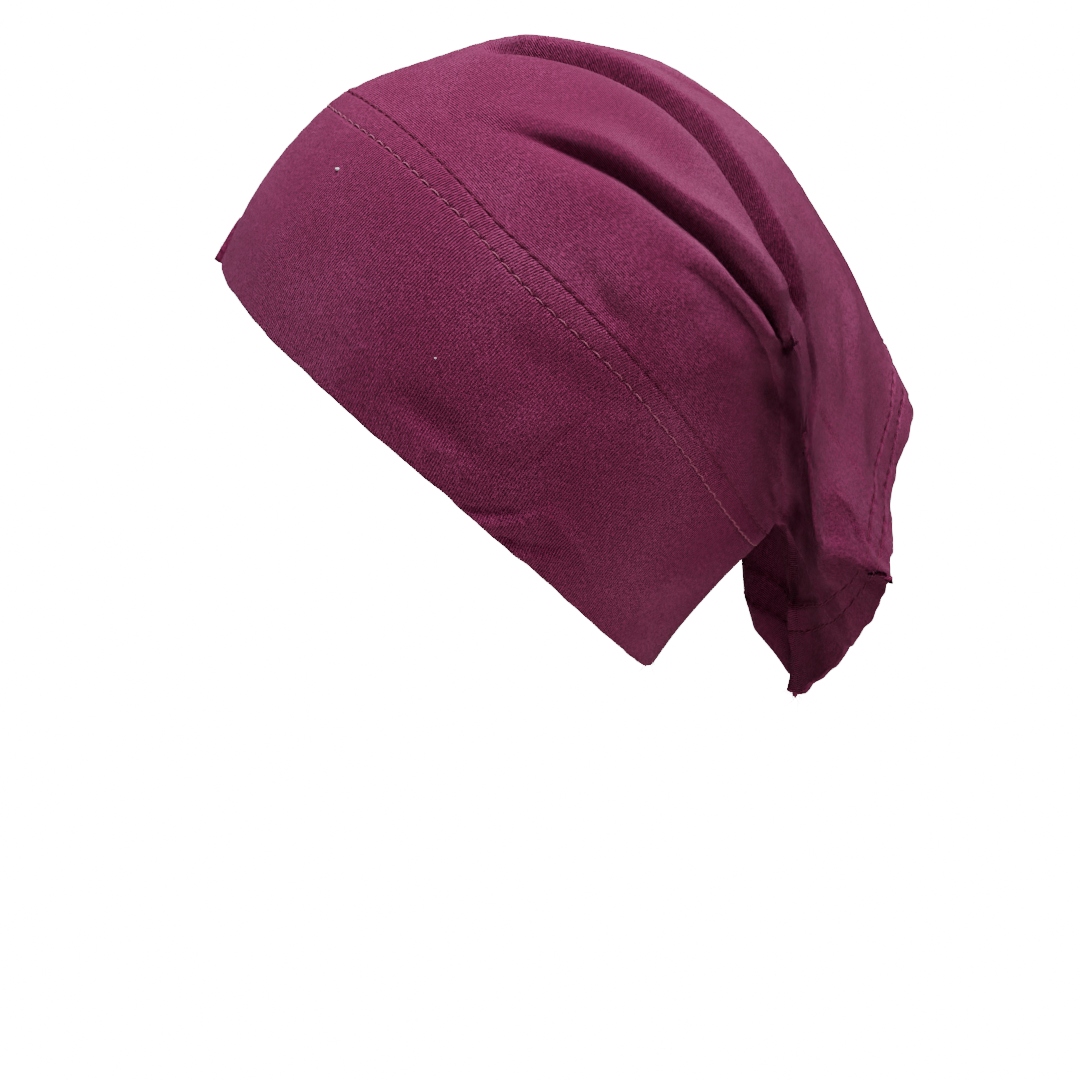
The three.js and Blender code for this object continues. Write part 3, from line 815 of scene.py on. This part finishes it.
# %% [markdown]
# Little things make cloth look worn rather than drawn: a tuft of white thread hangs from the tip of the
# tail, and two specks of lint sit on the band. A painted dot would lie flat in the weave, so the specks are
# small lumps that stand on the cloth.

# %% White thread and lint
SPACING = 0.4 * MM
tip_low, tip_high = (np.array(corner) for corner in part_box("seam_end_tail"))
tip = (tip_low + tip_high) / 2
tuft = []
for k in range(5):
    root = tip + np.array([k - 2, -1, 0]) * SPACING
    tuft.append(loose_thread(root, (0.25 * (k - 2), -0.2, -1), (3 + k % 3) * MM, 40 + k))


def speck(u, v, size, seed):
    """A speck of lint that sits on the cloth at (u, v)."""
    u, v = np.array([float(u)]), np.array([v])
    centre = (cloth(u, v) + normal_of(cloth, u, v) * size * 0.3)[0]
    return lumpy_egg(centre, size * np.array([1.3, 0.6, 0.8]), seed, 8, 6)


white_parts = tuft + [speck(34, 0.167, 1.1 * MM, 51), speck(74, 0.104, 0.5 * MM, 52)]
white = add_mesh("white_thread_and_lint", *join(white_parts))
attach(white, "root")

# %% [markdown]
# Finishes. A material here is a sum of masks, so it reads best as sums. One small class wraps a socket, and
# its operators add Math nodes, so that a line of Python says what the nodes do.

# %% Values and nodes
class Value:
    """A number, colour or vector that varies over a surface."""

    def __init__(self, finish, socket):
        self.finish = finish
        self.socket = socket

    def math(self, operation, *others):
        return self.finish.node("ShaderNodeMath", {"operation": operation}, [self, *others]).out(0)

    def reflected(self, operation, other):
        return self.finish.node("ShaderNodeMath", {"operation": operation}, [other, self]).out(0)

    def __add__(self, other):
        return self.math("ADD", other)

    def __sub__(self, other):
        return self.math("SUBTRACT", other)

    def __mul__(self, other):
        return self.math("MULTIPLY", other)

    def __truediv__(self, other):
        return self.math("DIVIDE", other)

    def __rsub__(self, other):
        return self.reflected("SUBTRACT", other)

    __radd__ = __add__
    __rmul__ = __mul__


class Node:
    """A node of a finish, and its outputs."""

    def __init__(self, finish, node):
        self.finish = finish
        self.node = node

    def out(self, name):
        return Value(self.finish, self.node.outputs[name])


class Finish:
    """A material, its nodes and its shader."""

    def __init__(self, name, **shader):
        self.material = bpy.data.materials.new(name)
        self.material.use_nodes = True
        self.tree = self.material.node_tree
        self.shader = self.tree.nodes["Principled BSDF"]
        for socket, value in shader.items():
            self.shader.inputs[socket.replace("_", " ")].default_value = value

    def node(self, kind, settings=None, sockets=()):
        """Any node: its type, its settings, then its sockets by place or by name."""
        node = self.tree.nodes.new(kind)
        for key, value in (settings or {}).items():
            setattr(node, key, value)
        pairs = sockets.items() if isinstance(sockets, dict) else enumerate(sockets)
        for key, value in pairs:
            if isinstance(value, Value):
                self.tree.links.new(value.socket, node.inputs[key])
            else:
                node.inputs[key].default_value = value
        return Node(self, node)

    def mix(self, factor, first, second):
        """A colour between two colours."""
        node = self.node("ShaderNodeMix", {"data_type": "RGBA"}, {0: factor, 6: first, 7: second})
        return node.out(2)

    def feed(self, socket, value):
        """A value into one of the shader's own sockets."""
        self.tree.links.new(value.socket, self.shader.inputs[socket])

    def bump(self, height, distance, strength):
        """Small relief that only the light sees."""
        sockets = {"Height": height, "Distance": distance, "Strength": strength}
        self.feed("Normal", self.node("ShaderNodeBump", None, sockets).out("Normal"))


# %% [markdown]
# Jersey. Knitted loops make fine lines both ways: wales along the tube and courses round it. Which of them
# shows depends on the stretch. The band is pulled round, so its wales stand out, and behind it the courses
# do. An image of knit would repeat and blur close up. So the lines are sines of the UV map, which counts
# both: its x is the number of wales, its y millimetres behind the band.
# Fibres make the lines mealy, and sheen makes the fuzz light up pink where the light grazes it.
# Between the lines the colour darkens: that is painted shade in the grooves between the loops.

# %% Jersey
WINE = (0.180, 0.0120, 0.060, 1)
# The deep wine is painted shade in the knit's grooves, and also the darker yarn among the fibres.
WINE_GROOVE_SHADE_AND_DARK_YARN = (0.050, 0.0022, 0.016, 1)
WINE_DUSTY = (0.300, 0.050, 0.140, 1)
PINK_FUZZ = (1.0, 0.30, 0.55, 1)
COURSE = 0.68


def jersey_finish():
    """The knit: painted shade darkens the grooves between its lines, and it is dusty where the fibres stand
    up.
    """
    jersey = Finish("jersey", Roughness=0.8, Sheen_Weight=0.13, Sheen_Roughness=0.35,
                    Sheen_Tint=PINK_FUZZ, Specular_IOR_Level=0.12)
    uv = jersey.node("ShaderNodeUVMap", {"uv_map": "knit"}).out(0)
    split = jersey.node("ShaderNodeSeparateXYZ", None, [uv])
    x, y = split.out("X"), split.out("Y")
    place = jersey.node("ShaderNodeTexCoord").out("Object")

    def noise(scale, detail=2.0, vector=place, roughness=0.6):
        sockets = {"Vector": vector, "Scale": scale, "Detail": detail, "Roughness": roughness}
        return jersey.node("ShaderNodeTexNoise", None, sockets).out(0)

    def dashes(across, along):
        """Short streaks, so many for each wale and so many for each millimetre along."""
        stretched = jersey.node("ShaderNodeCombineXYZ", None, [x * across, y * along, 0.0]).out(0)
        return noise(1.0, 1.0, stretched)

    wobble = noise(220.0)
    wale = ((x + wobble * 0.5) * math.pi).math("SINE").math("ABSOLUTE")
    course = ((y / COURSE + wobble * 0.5) * math.pi).math("SINE").math("ABSOLUTE")
    behind = (y * 0.3 + 0.3).math("MAXIMUM", 0.06).math("MINIMUM", 0.86)
    line = wale + (course - wale) * behind
    streak_along, streak_round = dashes(1.5, 0.9), dashes(0.7, 2.1)
    streak = streak_along + (streak_round - streak_along) * behind
    fibre = noise(1500.0, 3.0, roughness=0.75)
    blotch = noise(28.0, 3.0, roughness=0.55)
    grain = (streak - 0.5) * 2.2 + (fibre - 0.5) * 3.4
    # Painted shade: the colour darkens where the knit's lines dip, and the streaks and fibres add the yarn's
    # own uneven tone.
    groove_shade_and_grain = (line * 0.95 + grain * 0.65 - 0.02).math("MINIMUM", 1.0).math("MAXIMUM", 0.0)
    ground_with_groove_shade = jersey.mix(groove_shade_and_grain, WINE_GROOVE_SHADE_AND_DARK_YARN, WINE)
    dusty = ((blotch - 0.47) * 1.8 + grain * 0.6).math("MAXIMUM", 0.0).math("MINIMUM", 1.0) * 0.6
    jersey.feed("Base Color", jersey.mix(dusty, ground_with_groove_shade, WINE_DUSTY))
    jersey.feed("Roughness", fibre * 0.2 + 0.7)
    jersey.bump(line * 0.9 + streak * 0.8 + fibre * 0.7, 0.0005, 0.9)
    return jersey.material


jersey_material = jersey_finish()
for piece in cloth_pieces + end_pieces:
    piece.data.materials.append(jersey_material)
print("pieces in jersey:", len(cloth_pieces + end_pieces))

# %% [markdown]
# Thread. It is twisted, so it is mottled along its length rather than knitted, and one noise for colour and
# bump is enough at this width. The lower row of the band is sewn in a dusty pink thread, and the others are
# a little darker than the cloth.

# %% Thread
def thread_finish(name, colour, dark, sheen):
    """Twisted thread between two colours, with some fuzz."""
    thread = Finish(name, Roughness=0.8, Sheen_Weight=sheen, Sheen_Roughness=0.4,
                    Sheen_Tint=(1.0, 0.7, 0.8, 1), Specular_IOR_Level=0.2)
    place = thread.node("ShaderNodeTexCoord").out("Object")
    grain = thread.node("ShaderNodeTexNoise", None, {"Vector": place, "Scale": 1800.0, "Detail": 2.0}).out(0)
    thread.feed("Base Color", thread.mix(grain, dark, colour))
    thread.bump(grain, 0.0001, 0.6)
    return thread.material


pink_thread = thread_finish("pink_thread", (0.33, 0.080, 0.15, 1), (0.16, 0.025, 0.045, 1), 0.15)
wine_thread = thread_finish("wine_thread", (0.150, 0.008, 0.040, 1), (0.03, 0.0015, 0.008, 1), 0.0)
white_thread = thread_finish("white_thread", (0.85, 0.83, 0.84, 1), (0.6, 0.58, 0.6, 1), 0.3)
pale_row.data.materials.append(pink_thread)
for row in dark_rows:
    row.data.materials.append(wine_thread)
print("rows in dark thread:", len(dark_rows))
white.data.materials.append(white_thread)

# %% [markdown]
# The studio: a pale bowl that is floor and wall in one, so no line shows behind the cap. It shines itself,
# to be white, but it doesn't light the cap: a cloth this dark would turn grey in that much light from below.

# %% Bowl
FLOOR = -0.55
BOWL_PROFILE = [(2.0, 0.0), (3.4, 0.15), (4.4, 0.9), (5.0, 2.4), (4.6, 4.2), (3.0, 5.6)]


def studio_bowl():
    """A floor that curves up into a wall and closes above."""
    segments = 64
    vertices, faces = [], []
    for radius, rise in BOWL_PROFILE:
        for i in range(segments):
            a = 2 * math.pi * i / segments
            vertices.append((radius * math.cos(a), radius * math.sin(a), FLOOR + rise))
    for j in range(len(BOWL_PROFILE) - 1):
        for i in range(segments):
            a, b = j * segments + i, j * segments + (i + 1) % segments
            faces.append((a, a + segments, b + segments, b))
    faces.append(tuple(range(segments)))
    faces.append(tuple(range(len(vertices) - segments, len(vertices)))[::-1])
    bowl = add_mesh("studio_bowl", vertices, faces)
    paper = Finish("paper", Roughness=0.9, Emission_Color=(1, 1, 1, 1), Emission_Strength=18.0)
    place = paper.node("ShaderNodeTexCoord").out("Object")
    tone = paper.node("ShaderNodeTexNoise", None, {"Vector": place, "Scale": 0.6}).out(0)
    paper.feed("Base Color", paper.mix(tone, (0.8, 0.8, 0.8, 1), (0.84, 0.84, 0.84, 1)))
    bowl.data.materials.append(paper.material)
    bowl.visible_diffuse = False
    bowl.visible_glossy = False
    bowl.visible_shadow = False


studio_bowl()

# %% [markdown]
# The light comes from above, so the rolls throw their shadows down into the creases. One big lamp would be
# enough for that, but then the crown stays dull and the open tail is black inside. So a small lamp close to
# the crown brings out its fuzz, one from straight below reaches the underside of the tail, and wide ones
# from the side, the front and the back keep the shadows soft.

# %% Lamps
DAYLIGHT = (0.93, 0.95, 1.08)
MIDDLE = Vector((0.0, 0.0, -0.08))


def soft_lamp(name, place, size, power, colour=(1, 1, 1)):
    """A square lamp that faces the middle of the cap."""
    data = bpy.data.lights.new(name, "AREA")
    data.size = size
    data.energy = power
    data.color = colour
    lamp = bpy.data.objects.new(name, data)
    lamp.location = place
    lamp.rotation_euler = (MIDDLE - Vector(place)).to_track_quat("-Z", "Y").to_euler()
    lamp.visible_camera = False
    bpy.context.scene.collection.objects.link(lamp)


soft_lamp("lamp_above", (0.25, -0.45, 1.2), size=0.5, power=19, colour=DAYLIGHT)
soft_lamp("lamp_crown", (-0.06, -0.15, 0.65), size=0.25, power=10, colour=DAYLIGHT)
soft_lamp("lamp_side", (0.9, -1.05, 0.95), size=0.8, power=11)
soft_lamp("lamp_front", (0.05, -1.4, 0.2), size=1.0, power=4)
soft_lamp("lamp_low", (0.12, -0.45, -1.0), size=0.5, power=9)
soft_lamp("lamp_back", (1.2, 0.7, 0.9), size=1.0, power=4, colour=DAYLIGHT)

world = bpy.data.worlds.new("studio_air")
world.use_nodes = True
world.node_tree.nodes["Background"].inputs["Color"].default_value = (1, 1, 1, 1)
world.node_tree.nodes["Background"].inputs["Strength"].default_value = 0.12
bpy.context.scene.world = world
